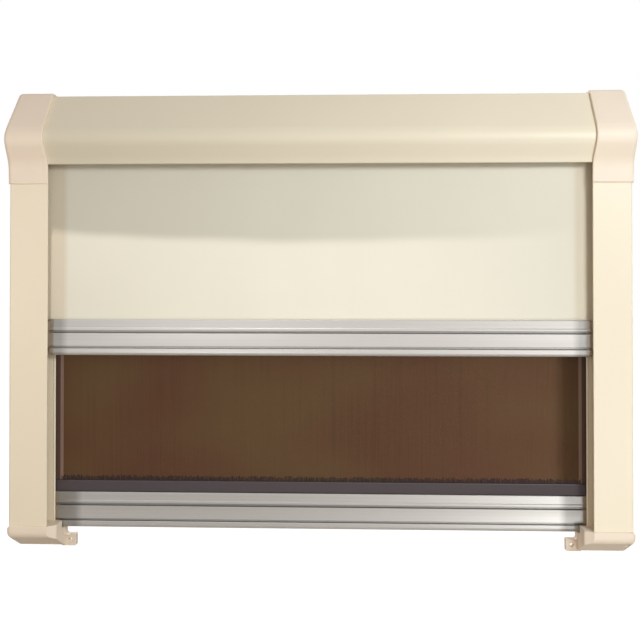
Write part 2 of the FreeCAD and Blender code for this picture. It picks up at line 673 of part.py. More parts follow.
def bar_profile(half_length, plane, top):
    """Extruded aluminium bottom bar with a keyhole slot along its top."""
    solid = prism_x(place_section(bar_outline(), plane, top), -half_length, half_length)
    chamber = place_section(bar_chamber(), plane, top)
    solid = solid.cut(prism_x(chamber, -half_length - 1, half_length + 1))
    groove_end = GROOVE_2_TOP + GROOVE_2_HEIGHT
    low = rectangle(-BAR_DEPTH / 2 + BAR_WALL + 0.2, BAR_DEPTH / 2 - BAR_WALL,
                    -BAR_HEIGHT + BAR_WALL, -groove_end - BAR_WALL, 2.0)
    solid = solid.cut(prism_x(place_section(low, plane, top), -half_length - 1, half_length + 1))
    solid = solid.cut(block(-half_length - 1, half_length + 1, -plane - SLOT_HALF_WIDTH,
                            -plane + SLOT_HALF_WIDTH, top - pocket_down, top + 1))
    pocket = rod_x(POCKET_R, -half_length - 1, half_length + 1, -plane, top - pocket_down)
    return solid.cut(pocket).removeSplitter()


def glider(half_length, plane, top, channel_front, channel_back):
    """Right end of a bar: plug in the bar, head of the bar's own outline, shoe in the rail."""
    plug = place_section(inset(bar_chamber(), TIGHT_FIT), plane, top)
    solid = prism_x(plug, half_length - BAR_PLUG_LENGTH, half_length)
    head_end = half_length + HEAD_LENGTH
    solid = solid.fuse(prism_x(place_section(bar_outline(), plane, top), half_length, head_end))
    shoe_top = top - SHOE_TOP_DOWN
    shoe_plan = rectangle(head_end - 0.5, shoe_x, channel_front + SHOE_PLAY,
                          channel_back - SHOE_PLAY, 1.5)
    shoe = prism_z(shoe_plan, shoe_top - SHOE_HEIGHT, shoe_top)
    solid = solid.fuse(shoe)
    middle_y = (channel_front + channel_back) / 2
    middle_z = shoe_top - SHOE_HEIGHT / 2
    recess = block(shoe_x - LEAF_POCKET_DEPTH, shoe_x + 1, middle_y - LEAF_WIDTH / 2 - SLIP_FIT,
                   middle_y + LEAF_WIDTH / 2 + SLIP_FIT, middle_z - LEAF_HEIGHT / 2 - 1,
                   middle_z + LEAF_HEIGHT / 2 + 1)
    return solid.cut(recess).removeSplitter()


def brake_springs(top, channel_front, channel_back):
    """Two bowed leaf springs that press the shoes against the rails."""
    middle_y = (channel_front + channel_back) / 2
    middle_z = top - SHOE_TOP_DOWN - SHOE_HEIGHT / 2
    seat_x = shoe_x - LEAF_POCKET_DEPTH + TIGHT_FIT
    crown_x = web_x - SEAT_GAP
    low_z = middle_z - LEAF_HEIGHT / 2
    high_z = middle_z + LEAF_HEIGHT / 2
    inner_crown = crown_x - LEAF_THICKNESS
    outer_seat = seat_x + LEAF_THICKNESS
    edges = [
        Part.Arc(along_y(outer_seat, low_z), along_y(crown_x, middle_z),
                 along_y(outer_seat, high_z)).toShape(),
        Part.LineSegment(along_y(outer_seat, high_z), along_y(seat_x, high_z)).toShape(),
        Part.Arc(along_y(seat_x, high_z), along_y(inner_crown, middle_z),
                 along_y(seat_x, low_z)).toShape(),
        Part.LineSegment(along_y(seat_x, low_z), along_y(outer_seat, low_z)).toShape(),
    ]
    face = Part.Face(Part.Wire(edges))
    leaf = face.extrude(V(0, LEAF_WIDTH, 0)).translate(V(0, middle_y - LEAF_WIDTH / 2, 0))
    return Part.makeCompound([leaf, mirrored(leaf)])


def night_cloth():
    """Straight stretch of the night cloth, with a narrower hem in the bar's slot."""
    thick = FABRIC_THICKNESS / 2
    wide = block(-fabric_x, fabric_x, -night_plane - thick, -night_plane + thick,
                 night_bar_top + SEAT_GAP, night_roller_z)
    hem_x = night_bar_x - 2
    hem_bottom = night_bar_top - pocket_down + ROD_R + SLIP_FIT
    hem = block(-hem_x, hem_x, -night_plane - thick, -night_plane + thick, hem_bottom,
                night_bar_top + SEAT_GAP)
    return wide.fuse(hem).removeSplitter()


def screen_mesh():
    """Straight stretch of the mesh, down to the grip of the clamp strip."""
    thick = FABRIC_THICKNESS / 2
    bottom = screen_bar_top + STRIP_HEIGHT - STRIP_GRIP + SLIP_FIT
    return block(-fabric_x, fabric_x, -screen_plane - thick, -screen_plane + thick, bottom,
                 screen_roller_z)


def clamp_strip():
    """Dark strip that grips the mesh and hooks into the screen bar's slot."""
    half = STRIP_DEPTH / 2
    neck = SLOT_HALF_WIDTH - SLIP_FIT
    grip = FABRIC_THICKNESS / 2 + SLIP_FIT
    section = [
        (-half, TIGHT_FIT, 0.4),
        (half, TIGHT_FIT, 0.4),
        (half, STRIP_HEIGHT, 0.8),
        (grip, STRIP_HEIGHT, 0),
        (grip, STRIP_HEIGHT - STRIP_GRIP, 0),
        (-grip, STRIP_HEIGHT - STRIP_GRIP, 0),
        (-grip, STRIP_HEIGHT, 0),
        (-half, STRIP_HEIGHT, 0.8),
    ]
    body = prism_x(place_section(section, screen_plane, screen_bar_top), -fabric_x, fabric_x)
    hook_x = screen_bar_x - 1
    hook = block(-hook_x, hook_x, -screen_plane - neck, -screen_plane + neck,
                 screen_bar_top - pocket_down, screen_bar_top + 1)
    bulb = rod_x(ROD_R, -hook_x, hook_x, -screen_plane, screen_bar_top - pocket_down)
    return body.fuse([hook, bulb]).removeSplitter()


def build():
    """Every piece by name."""
    night_centre = (night_roller_y, night_roller_z)
    screen_centre = (screen_roller_y, screen_roller_z)
    cap = end_cap()
    rail = side_rail()
    right_foot = foot()
    pieces = {
        "cassette_back_profile": back_profile(),
        "cassette_front_cover": front_cover(),
        "left_end_cap": mirrored(cap),
        "right_end_cap": cap,
        "left_end_bracket": end_bracket(-1, night_centre, screen_centre),
        "right_end_bracket": end_bracket(1, screen_centre, night_centre),
        "left_side_rail": mirrored(rail),
        "right_side_rail": rail,
        "left_foot": mirrored(right_foot),
        "right_foot": right_foot,
        "cassette_screws": cassette_screws(),
        "bracket_screws": bracket_screws(),
        "foot_screws": foot_screws(),
        "night_spindle": mirrored(spindle(*night_centre)),
        "screen_spindle": spindle(*screen_centre),
        "night_cloth": night_cloth(),
        "screen_mesh": screen_mesh(),
    }
    for name, shape in roller(*night_centre, NIGHT_ROLL_R).items():
        pieces["night_" + name] = mirrored(shape)
    for name, shape in roller(*screen_centre, SCREEN_ROLL_R).items():
        pieces["screen_" + name] = shape
    bars = {
        "night": (night_bar_x, night_plane, night_bar_top, night_channel_front, night_channel_back),
        "screen": (screen_bar_x, screen_plane, screen_bar_top, screen_channel_front,
                   screen_channel_back),
    }
    for name, (half_length, plane, top, channel_front, channel_back) in bars.items():
        end = glider(half_length, plane, top, channel_front, channel_back)
        pieces[name + "_bar_profile"] = bar_profile(half_length, plane, top)
        pieces["left_" + name + "_glider"] = mirrored(end)
        pieces["right_" + name + "_glider"] = end
        pieces[name + "_brake_springs"] = brake_springs(top, channel_front, channel_back)
    pieces["night_cloth_rod"] = rod_x(ROD_R, -night_bar_x + 1, night_bar_x - 1, -night_plane,
                                      night_bar_top - pocket_down)
    pieces["screen_clamp_strip"] = clamp_strip()
    return pieces


def main():
    os.makedirs("parts", exist_ok=True)
    for name, shape in build().items():
        if not shape.isValid():
            print("not valid:", name)
        shape.exportStep("parts/" + name + ".step")
        print(f"{name}: {len(shape.Solids)} solid(s), {shape.Volume / 1000:.2f} cm3")
    print("night bar top", night_bar_top, "screen bar top", screen_bar_top)
    print("rail bottom", rail_bottom, "foot bottom", foot_bottom)
    print("night roller", night_roller_y, night_roller_z, "screen roller", screen_roller_y,
          screen_roller_z)


main()
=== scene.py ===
"""Day and night roller blind: fabrics, materials, light and camera round the CAD frame.

X runs along the cassette, Y into the wall and Z up, as in the CAD. Places on the blind are in
millimetres, and the studio round it is in metres.
"""
import math
import random

import bmesh
import bpy
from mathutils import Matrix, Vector


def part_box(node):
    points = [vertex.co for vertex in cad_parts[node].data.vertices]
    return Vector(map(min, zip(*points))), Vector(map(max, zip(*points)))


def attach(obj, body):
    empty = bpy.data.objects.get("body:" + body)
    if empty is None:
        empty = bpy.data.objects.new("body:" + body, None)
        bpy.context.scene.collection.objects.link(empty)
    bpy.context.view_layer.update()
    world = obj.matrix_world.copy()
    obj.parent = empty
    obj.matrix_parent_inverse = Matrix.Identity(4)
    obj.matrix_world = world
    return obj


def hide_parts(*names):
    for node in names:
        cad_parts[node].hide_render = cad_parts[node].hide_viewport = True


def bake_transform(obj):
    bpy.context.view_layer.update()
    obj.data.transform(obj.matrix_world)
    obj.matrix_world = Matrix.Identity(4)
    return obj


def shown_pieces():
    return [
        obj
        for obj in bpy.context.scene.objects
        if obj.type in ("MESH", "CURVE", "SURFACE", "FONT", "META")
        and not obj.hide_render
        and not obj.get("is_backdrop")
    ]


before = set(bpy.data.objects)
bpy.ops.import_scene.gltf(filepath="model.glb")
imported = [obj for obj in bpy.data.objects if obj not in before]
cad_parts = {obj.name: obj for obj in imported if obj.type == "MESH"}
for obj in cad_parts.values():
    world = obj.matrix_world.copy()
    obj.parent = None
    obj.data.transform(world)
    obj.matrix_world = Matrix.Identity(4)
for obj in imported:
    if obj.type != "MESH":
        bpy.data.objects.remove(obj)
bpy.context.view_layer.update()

MM = 0.001
SEED = 11


# Sizes that the frame gives

def extent(node_name, axis):
    """Where a CAD piece begins and ends along an axis, at rest."""
    return [round(corner["XYZ".index(axis)] / MM, 3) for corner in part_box(node_name)]


def middle_of(node_name, axis):
    return round(sum(extent(node_name, axis)) / 2, 3)


def axis_of(node_name):
    """Y and Z of the axis of a round piece that lies along X."""
    return middle_of(node_name, "Y"), middle_of(node_name, "Z")


def radius_of(node_name):
    """Radius of a round piece that lies along X."""
    low, high = extent(node_name, "Z")
    return round((high - low) / 2, 3)


NIGHT_ROLLER = axis_of("night_roller_tube")
SCREEN_ROLLER = axis_of("screen_roller_tube")
TUBE_R = radius_of("night_roller_tube")
NIGHT_ROLL_R = radius_of("night_fabric_roll")
SCREEN_ROLL_R = radius_of("screen_fabric_roll")
NIGHT_PLANE = middle_of("night_cloth", "Y")
SCREEN_PLANE = middle_of("screen_mesh", "Y")
FABRIC_HALF_WIDTH = extent("night_cloth", "X")[1]
NIGHT_BAR_HALF_WIDTH = extent("night_bar_profile", "X")[1]
NIGHT_BAR_TOP = extent("night_bar_profile", "Z")[1]
SCREEN_STRIP_TOP = extent("screen_clamp_strip", "Z")[1]

# The fabrics themselves
CLOTH_THICKNESS = 0.22
LAYER = 0.25                # from one turn on a roller to the next
TUBE_GAP = 0.05             # between a tube and its first turn
WRAP_DEGREES = 150          # how far a fabric is followed round its roller
WRAP_LIFT = 0.12            # from the roll's outside to the middle of the wrap's far end
CLOTH_BOW = 3.0             # the night cloth stands this far back in its middle
CLOTH_WAVE = 0.3            # height of the soft waves in the cloth, and in the mesh
MESH_WAVE = 0.12
NIGHT_HEM_DEPTH = 3.2       # how far the cloth reaches down into the bar
NIGHT_HEM_SPARE = 2.0       # from the end of the bar to the cloth in it
HEM_CLEARANCE = 0.2         # the cloth is narrower from this far above the bar
MESH_GRIP = 6.2             # how far the mesh reaches down behind the clamp strip
NIGHT_HEM_HALF_WIDTH = NIGHT_BAR_HALF_WIDTH - NIGHT_HEM_SPARE
NIGHT_HEM_BOTTOM = NIGHT_BAR_TOP - NIGHT_HEM_DEPTH
SCREEN_MESH_BOTTOM = SCREEN_STRIP_TOP - MESH_GRIP

# How finely the sheets are divided
WRAP_STEPS = 18
DROP_STEPS = 56
SHEET_COLUMNS = 96
TURN_STEPS = 36
WINDING_COLUMNS = 12

# Cut ends of the mesh's warp threads
HEM_BAND = 5.5              # the band above the clamp strip that they stand in
END_SPACING = 1.3
END_MARGIN = 16.0           # from the mesh's long edge to its first end
END_WIDTHS = (0.5, 0.95)
END_HEIGHTS = (0.55, 1.0)   # as shares of the band
END_GAPS = (0.75, 1.25)     # as shares of the spacing
END_ROOT = 0.5              # how far an end reaches down below the strip's top
END_FRONT = 0.35            # from the mesh's plane forwards to an end's front and its back
END_BACK = 0.16

# What the materials change across the width, from the middle
CLOTH_SHADE_START = 264.8           # where painted shade of the rails begins on the night cloth
CLOTH_SHADE_FADE = 3.0
LIT_FLANGE_INNER = 272.2      # painted highlight near each long edge of the mesh: the lit edge of the rail's rear flange behind it
LIT_FLANGE_OUTER = 275.4
LIT_FLANGE_FADE = 0.2
NIGHT_UNSHADED_HALF = 260.5   # painted shadow of the rails darkens each bar further out than this
SCREEN_UNSHADED_HALF = 250.0
RAIL_SHADOW_FADE = 8.0

GROOVE_SHADE_REACH = 4.0          # how near a wall stands for painted shade at the bottom of a groove

# From thread to thread, and how high the threads lie, in metres
CLOTH_PITCH = 0.0011
MESH_PITCH = 0.0024
CLOTH_RELIEF = 0.00012
MESH_RELIEF = 0.0002

WHITE = (1.0, 1.0, 1.0, 1.0)


def rgb(red, green, blue):
    """A colour written in sRGB steps, as the linear colour that a shader takes."""
    steps = [value / 255 for value in (red, green, blue)]
    linear = [v / 12.92 if v <= 0.04045 else ((v + 0.055) / 1.055) ** 2.4 for v in steps]
    return (*linear, 1.0)


def scaled(colour, factor):
    return (*[min(channel * factor, 1.0) for channel in colour[:3]], 1.0)


CREAM_PROFILE = rgb(238, 225, 200)
CREAM_MOULDING = rgb(239, 222, 201)
GREY_MOULDING = rgb(150, 148, 143)
TAN_MOULDING = rgb(150, 134, 116)
ALUMINIUM = rgb(206, 203, 198)
DARK_STRIP = rgb(86, 76, 79)
NIGHT_CLOTH = rgb(227, 220, 202)
# Night cloth in the painted shade of the rails along its edges
CLOTH_SHADED_EDGE = rgb(208, 192, 166)
SCREEN_MESH = rgb(110, 85, 57)
SCREEN_MESH_RED = rgb(107, 74, 53)
THREAD_END = rgb(50, 38, 38)
# Mesh in the painted shade outside its edge line, and the painted highlight of the rail's rear
# flange
SCREEN_SHADED_EDGE = rgb(104, 82, 71)
LIT_FLANGE_LINE = rgb(158, 131, 116)
STEEL = rgb(180, 180, 178)
SPRING_STEEL = rgb(120, 122, 126)


# Materials

MIX_FACTOR, MIX_FIRST, MIX_SECOND = 0, 6, 7     # sockets of a Mix node that mixes colours
MIX_RESULT = 2
DRAWN_ALONG_X = (3.0, 600.0, 600.0)             # scale of a noise drawn out along one axis
DRAWN_ALONG_Z = (600.0, 600.0, 3.0)


class Nodes:
    """The emptied node tree of a new material or world, with short ways to add and link nodes."""

    def __init__(self, owner, output="OutputMaterial"):
        owner.use_nodes = True
        self.owner = owner
        self.tree = owner.node_tree
        self.tree.nodes.clear()
        self.output = self.add(output)

    def add(self, kind, **inputs):
        node = self.tree.nodes.new("ShaderNode" + kind)
        for name, value in inputs.items():
            self.feed(node.inputs[name.replace("_", " ")], value)
        return node

    def feed(self, socket, value):
        """Links the socket to another node's output, or gives it a plain value."""
        if isinstance(value, bpy.types.NodeSocket):
            self.tree.links.new(value, socket)
        else:
            socket.default_value = value

    def show(self, shader):
        self.feed(self.output.inputs["Surface"], shader)

    def principled(self, **inputs):
        self.show(self.add("BsdfPrincipled", **inputs).outputs["BSDF"])

    def coordinates(self, source="Object", scale=(1, 1, 1)):
        place = self.add("TexCoord")
        mapping = self.add("Mapping", Vector=place.outputs[source], Scale=scale)
        return mapping.outputs["Vector"]

    def from_middle(self, source="Object", middle=0.0):
        """Distance across the width from the blind's middle, which is at middle in the source."""
        place = self.add("SeparateXYZ", Vector=self.coordinates(source))
        return self.math("ABSOLUTE", self.math("SUBTRACT", place.outputs["X"], middle))

    def noise(self, vector, scale=1.0, detail=2.0):
        node = self.add("TexNoise", Vector=vector, Scale=scale, Detail=detail, Roughness=0.5)
        return node.outputs["Fac"]

    def tones(self, fac, colour, dark, light, low=0.3, high=0.7):
        """The colour times dark where fac is low, up to the colour times light where it is high."""
        node = self.add("ValToRGB", Fac=fac)
        first, last = node.color_ramp.elements
        first.position, last.position = low, high
        first.color, last.color = scaled(colour, dark), scaled(colour, light)
        return node.outputs["Color"]

    def spread(self, value, low, high, from_low=0.0, from_high=1.0):
        """Moves a value from one range to another, and holds it at that range's ends."""
        node = self.add(
            "MapRange", Value=value, From_Min=from_low, From_Max=from_high, To_Min=low, To_Max=high
        )
        return node.outputs["Result"]

    def rise(self, distance, start, end, most=1.0):
        """0 up to start and most from end on, both in millimetres."""
        return self.spread(distance, 0.0, most, start * MM, end * MM)

    def math(self, operation, first, second=0.0):
        node = self.add("Math")
        node.operation = operation
        self.feed(node.inputs[0], first)
        self.feed(node.inputs[1], second)
        return node.outputs["Value"]

    def mix(self, factor, first, second):
        node = self.add("Mix")
        node.data_type = "RGBA"
        self.feed(node.inputs[MIX_FACTOR], factor)
        self.feed(node.inputs[MIX_FIRST], first)
        self.feed(node.inputs[MIX_SECOND], second)
        return node.outputs[MIX_RESULT]

    def mix_shaders(self, factor, first, second):
        node = self.add("MixShader")
        for socket, value in zip(node.inputs, (factor, first, second)):
            self.feed(socket, value)
        return node.outputs["Shader"]

    def soft_edges(self, radius):
        """A normal that rounds sharp edges by a radius in metres."""
        return self.add("Bevel", Radius=radius).outputs["Normal"]

    def bump(self, height, strength, distance, normal=None):
        node = self.add("Bump", Height=height, Strength=strength, Distance=distance)
        if normal is not None:
            self.feed(node.inputs["Normal"], normal)
        return node.outputs["Normal"]


def new_material(name):
    return Nodes(bpy.data.materials.new(name))


def painted_profile(name, colour, drawn_along):
    """Satin paint on an extrusion: soft colour drift, fine peel and faint draw lines along it."""
    nodes = new_material(name)
    drift = nodes.noise(nodes.coordinates(), scale=9.0)
    lines = nodes.noise(nodes.coordinates(scale=drawn_along), detail=1.0)
    peel = nodes.noise(nodes.coordinates(), scale=1400.0, detail=3.0)
    drawn = nodes.bump(lines, strength=0.06, distance=0.0002, normal=nodes.soft_edges(0.0005))
    nodes.principled(
        Base_Color=nodes.tones(drift, colour, dark=0.985, light=1.01),
        Roughness=nodes.spread(drift, 0.42, 0.50),
        Normal=nodes.bump(peel, strength=0.05, distance=0.0002, normal=drawn),
        IOR=1.48,
    )
    return nodes.owner


def moulded(name, colour, roughness, grain=1.0):
    """Moulded plastic with a fine spark-eroded grain and softly rounded edges."""
    nodes = new_material(name)
    drift = nodes.noise(nodes.coordinates(), scale=14.0)
    fine = nodes.noise(nodes.coordinates(), scale=2600.0, detail=3.0)
    edges = nodes.soft_edges(0.0008)
    nodes.principled(
        Base_Color=nodes.tones(drift, colour, dark=0.975, light=1.015),
        Roughness=nodes.spread(fine, roughness - 0.05, roughness + 0.06),
        Normal=nodes.bump(fine, strength=0.10 * grain, distance=0.0002, normal=edges),
        IOR=1.5,
    )
    return nodes.owner


def drawn_metal(name, colour, roughness, unshaded_half=None):
    """Anodised extrusion: satin metal with fine lines along the bar, painted shade down in its
    grooves.

    Further than the given half width from the middle, in millimetres, it darkens: painted shadow of
    the rails.
    """
    nodes = new_material(name)
    lines = nodes.noise(nodes.coordinates(scale=(2.0, 2500.0, 2500.0)))
    drift = nodes.noise(nodes.coordinates(scale=(6.0, 40.0, 40.0)), detail=1.0)
    drawn = nodes.tones(lines, colour, dark=0.93, light=1.04, low=0.25, high=0.75)
    # Painted shade: darker where walls stand near, down in the grooves
    openness = nodes.add("AmbientOcclusion", Distance=GROOVE_SHADE_REACH * MM).outputs["AO"]
    out_of_groove_shade = nodes.spread(openness, 0.0, 1.0, 0.3, 0.75)
    shade = nodes.mix(out_of_groove_shade, scaled(colour, 0.33), drawn)
    # Painted shadow of the rails over both ends of the bar
    if unshaded_half is not None:
        rail_shadow = nodes.rise(nodes.from_middle(), unshaded_half, unshaded_half + RAIL_SHADOW_FADE, most=0.45)
        shade = nodes.mix(rail_shadow, shade, scaled(colour, 0.2))
    nodes.principled(
        Base_Color=shade,
        Roughness=nodes.spread(drift, roughness - 0.04, roughness + 0.05),
        Metallic=0.55,
        Normal=nodes.bump(lines, strength=0.12, distance=0.0001, normal=nodes.soft_edges(0.0003)),
    )
    return nodes.owner


def plain_steel(name, colour, roughness):
    nodes = new_material(name)
    grain = nodes.noise(nodes.coordinates(), scale=900.0)
    nodes.principled(
        Base_Color=nodes.tones(grain, colour, dark=0.9, light=1.05),
        Roughness=nodes.spread(grain, roughness - 0.06, roughness + 0.08),
        Metallic=1.0,
    )
    return nodes.owner


def weave(nodes, pitch):
    """Two sets of threads over and under each other: their height, and where a thread is."""
    place = nodes.add("SeparateXYZ", Vector=nodes.coordinates("UV"))
    waves = []
    for axis in "XY":
        turn = nodes.math("MULTIPLY", place.outputs[axis], 2 * math.pi / pitch)
        waves.append(nodes.math("SINE", turn))
    warp, weft = [nodes.math("ABSOLUTE", wave) for wave in waves]
    crossing = nodes.math("MULTIPLY", *waves)
    thread = nodes.math("MAXIMUM", warp, weft)
    height = nodes.math("ADD", thread, nodes.math("MULTIPLY", crossing, 0.35))
    return height, thread


def woven_cloth(name, colour, shaded_edge_colour):
    """Closely woven coated cloth, with slubs along the threads and soft drift in its colour.

    It is a little darker along its long edges, more so at the very edge: painted shade of the
    rails.
    """
    nodes = new_material(name)
    height, thread = weave(nodes, CLOTH_PITCH)
    slub_x = nodes.noise(nodes.coordinates("UV", (3.0, 900.0, 1.0)))
    slub_y = nodes.noise(nodes.coordinates("UV", (900.0, 3.0, 1.0)))
    drift = nodes.noise(nodes.coordinates("UV", (1.0, 0.5, 1.0)), scale=14.0)
    slub = nodes.spread(nodes.math("ADD", slub_x, slub_y), -0.03, 0.03, 0.7, 1.3)
    tone = nodes.math("ADD", slub, nodes.spread(drift, 0.3, 0.7))
    tone = nodes.math("ADD", tone, nodes.spread(thread, -0.05, 0.03))
    middle = nodes.tones(tone, colour, dark=0.95, light=1.03, low=0.2, high=0.8)
    # Painted shade of the rails: a band along each long edge, and a little more towards the very
    # edge
    distance = nodes.from_middle("UV", FABRIC_HALF_WIDTH * MM)
    rail_shade = nodes.rise(distance, CLOTH_SHADE_START - CLOTH_SHADE_FADE, CLOTH_SHADE_START + CLOTH_SHADE_FADE, most=0.62)
    edge = nodes.rise(distance, CLOTH_SHADE_START, FABRIC_HALF_WIDTH, most=0.04)
    nodes.principled(
        Base_Color=nodes.mix(nodes.math("ADD", rail_shade, edge), middle, shaded_edge_colour),
        Roughness=0.82,
        Normal=nodes.bump(height, strength=0.25, distance=CLOTH_RELIEF),
        IOR=1.45,
        Sheen_Weight=0.08,
        Sheen_Roughness=0.5,
    )
    return nodes.owner


def woven_mesh(name, colour, red_colour, lit_flange_colour, shaded_edge_colour):
    """Brown insect mesh: a fine grid of threads, with streaks along the warp.

    Near each long edge lies a painted highlight of the rail's rear flange, with darker, greyer
    painted shade outside.
    """
    nodes = new_material(name)
    height, thread = weave(nodes, MESH_PITCH)
    streak = nodes.noise(nodes.coordinates("UV", (420.0, 5.0, 1.0)))
    broad = nodes.noise(nodes.coordinates("UV", (1.0, 1.4, 1.0)), scale=7.0)
    patches = nodes.noise(nodes.coordinates("UV", (1.0, 1.6, 1.0)), scale=6.0, detail=1.0)
    threads = nodes.spread(thread, 0.82, 1.05, 0.2, 1.0)
    streaks = nodes.spread(streak, 0.90, 1.10, 0.3, 0.7)
    clouds = nodes.spread(broad, 0.92, 1.08, 0.3, 0.7)
    strength = nodes.math("MULTIPLY", nodes.math("MULTIPLY", threads, streaks), clouds)
    ground = nodes.mix(nodes.spread(patches, 0.0, 1.0, 0.38, 0.62), red_colour, colour)
    distance = nodes.from_middle("UV", FABRIC_HALF_WIDTH * MM)
    # Painted highlight of the rail's rear flange behind the mesh, and painted shade outside it
    at_lit_flange = nodes.rise(distance, LIT_FLANGE_INNER - LIT_FLANGE_FADE, LIT_FLANGE_INNER)
    outside = nodes.rise(distance, LIT_FLANGE_OUTER, LIT_FLANGE_OUTER + LIT_FLANGE_FADE)
    flat_colour = nodes.mix(outside, nodes.mix(at_lit_flange, ground, lit_flange_colour), shaded_edge_colour)
    nodes.principled(
        Base_Color=nodes.mix(strength, scaled(colour, 0.0), flat_colour),
        Roughness=0.65,
        Normal=nodes.bump(height, strength=0.3, distance=MESH_RELIEF),
        IOR=1.45,
        Specular_IOR_Level=0.25,
    )
    return nodes.owner


def wound_cloth(name, colour):
    nodes = new_material(name)
    height, thread = weave(nodes, CLOTH_PITCH)
    nodes.principled(
        Base_Color=nodes.mix(nodes.spread(thread, 0.9, 1.0), scaled(colour, 0.6), colour),
        Roughness=0.8,
        Normal=nodes.bump(height, strength=0.25, distance=CLOTH_RELIEF),
        IOR=1.45,
    )
    return nodes.owner


rail_paint = painted_profile("rail_paint", CREAM_PROFILE, DRAWN_ALONG_Z)
cover_paint = painted_profile("cover_paint", CREAM_PROFILE, DRAWN_ALONG_X)
cream_plastic = moulded("cream_plastic", CREAM_MOULDING, roughness=0.54)
grey_plastic = moulded("grey_plastic", GREY_MOULDING, roughness=0.5)
tan_plastic = moulded("tan_plastic", TAN_MOULDING, roughness=0.45)
strip_plastic = moulded("strip_plastic", DARK_STRIP, roughness=0.4, grain=0.6)
thread_fray = moulded("thread_fray", THREAD_END, roughness=0.8, grain=0.4)
night_bar_metal = drawn_metal("night_bar_metal", ALUMINIUM, 0.46, NIGHT_UNSHADED_HALF)
screen_bar_metal = drawn_metal("screen_bar_metal", ALUMINIUM, 0.46, SCREEN_UNSHADED_HALF)
tube_metal = drawn_metal("tube_metal", STEEL, roughness=0.34)
screw_metal = plain_steel("screw_metal", STEEL, roughness=0.3)
spring_metal = plain_steel("spring_metal", SPRING_STEEL, roughness=0.35)
cloth_weave = woven_cloth("cloth_weave", NIGHT_CLOTH, CLOTH_SHADED_EDGE)
mesh_weave = woven_mesh("mesh_weave", SCREEN_MESH, SCREEN_MESH_RED, LIT_FLANGE_LINE, SCREEN_SHADED_EDGE)
wound_night = wound_cloth("wound_night", NIGHT_CLOTH)
wound_screen = wound_cloth("wound_screen", SCREEN_MESH)

node_materials = {
    "cassette_back_profile": cover_paint,
    "cassette_front_cover": cover_paint,
    "cassette_screws": screw_metal,
    "bracket_screws": screw_metal,
    "foot_screws": screw_metal,
    "night_bar_profile": night_bar_metal,
    "screen_bar_profile": screen_bar_metal,
    "night_cloth_rod": grey_plastic,
    "screen_clamp_strip": strip_plastic,
}
for side in ("left_", "right_"):
    node_materials[side + "end_cap"] = cream_plastic
    node_materials[side + "end_bracket"] = grey_plastic
    node_materials[side + "side_rail"] = rail_paint
    node_materials[side + "foot"] = cream_plastic
    node_materials[side + "night_glider"] = tan_plastic
    node_materials[side + "screen_glider"] = tan_plastic
for fabric in ("night_", "screen_"):
    node_materials[fabric + "spindle"] = screw_metal
    node_materials[fabric + "roller_tube"] = tube_metal
    node_materials[fabric + "spring_plug"] = grey_plastic
    node_materials[fabric + "idle_plug"] = grey_plastic
    node_materials[fabric + "torsion_spring"] = spring_metal
    node_materials[fabric + "brake_springs"] = spring_metal

for node_name, node_material in node_materials.items():
    node_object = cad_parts[node_name]
    if not node_object.material_slots:
        node_object.data.materials.append(node_material)
    for material_slot in node_object.material_slots:
        material_slot.material = node_material


# Fabrics

def put(name, data, material):
    piece = bpy.data.objects.new(name, data)
    bpy.context.scene.collection.objects.link(piece)
    data.materials.append(material)
    return piece


def thick_sheet(name, rows, lengths, material):
    """A closed sheet of cloth thickness through rows of points.

    Each row has the same number of points. lengths gives how far along the cloth each row is,
    and with X it makes the map that the weave follows.
    """
    last_row = len(rows) - 1
    last_point = len(rows[0]) - 1
    form = bmesh.new()
    layers = []
    flat_places = {}
    for offset in (CLOTH_THICKNESS / 2, -CLOTH_THICKNESS / 2):
        layer = []
        for i, row in enumerate(rows):
            before, after = rows[max(i - 1, 0)], rows[min(i + 1, last_row)]
            vertices = []
            for j, point in enumerate(row):
                down = after[j] - before[j]
                across = row[min(j + 1, last_point)] - row[max(j - 1, 0)]
                normal = across.cross(down).normalized()
                vertex = form.verts.new((point + normal * offset) * MM)
                flat_places[vertex] = ((point.x + FABRIC_HALF_WIDTH) * MM, lengths[i] * MM)
                vertices.append(vertex)
            layer.append(vertices)
        layers.append(layer)
    front, back = layers
    for i in range(last_row):
        for j in range(last_point):
            square = [(i, j), (i + 1, j), (i + 1, j + 1), (i, j + 1)]
            form.faces.new([front[a][b] for a, b in square])
            form.faces.new([back[a][b] for a, b in reversed(square)])
    rim = [(0, j) for j in range(last_point + 1)]
    rim += [(i, last_point) for i in range(1, last_row + 1)]
    rim += [(last_row, j) for j in range(last_point - 1, -1, -1)]
    rim += [(i, 0) for i in range(last_row - 1, 0, -1)]
    for (a, b), (c, d) in zip(rim, rim[1:] + rim[:1]):
        form.faces.new([front[a][b], front[c][d], back[c][d], back[a][b]])
    flat_map = form.loops.layers.uv.new("cloth")
    for face in form.faces:
        face.smooth = True
        for loop in face.loops:
            loop[flat_map].uv = flat_places[loop.vert]
    bmesh.ops.recalc_face_normals(form, faces=form.faces)
    data = bpy.data.meshes.new(name)
    form.to_mesh(data)
    form.free()
    return put(name, data, material)


def sections(low, high, count):
    return [low + (high - low) * i / count for i in range(count + 1)]


def round_roller(roller, radius, angle):
    """Y and Z at an angle round a roller's axis."""
    return roller[0] + radius * math.cos(angle), roller[1] + radius * math.sin(angle)


def roll_wrap(roller, leave_r, far_r):
    """Points over the roller, from its far side to where the cloth leaves it."""
    wrapped = []
    for i in range(WRAP_STEPS + 1):
        left = 1 - i / WRAP_STEPS
        radius = leave_r + (far_r - leave_r) * left
        wrapped.append(round_roller(roller, radius, math.radians(WRAP_DEGREES) * left))
    return wrapped


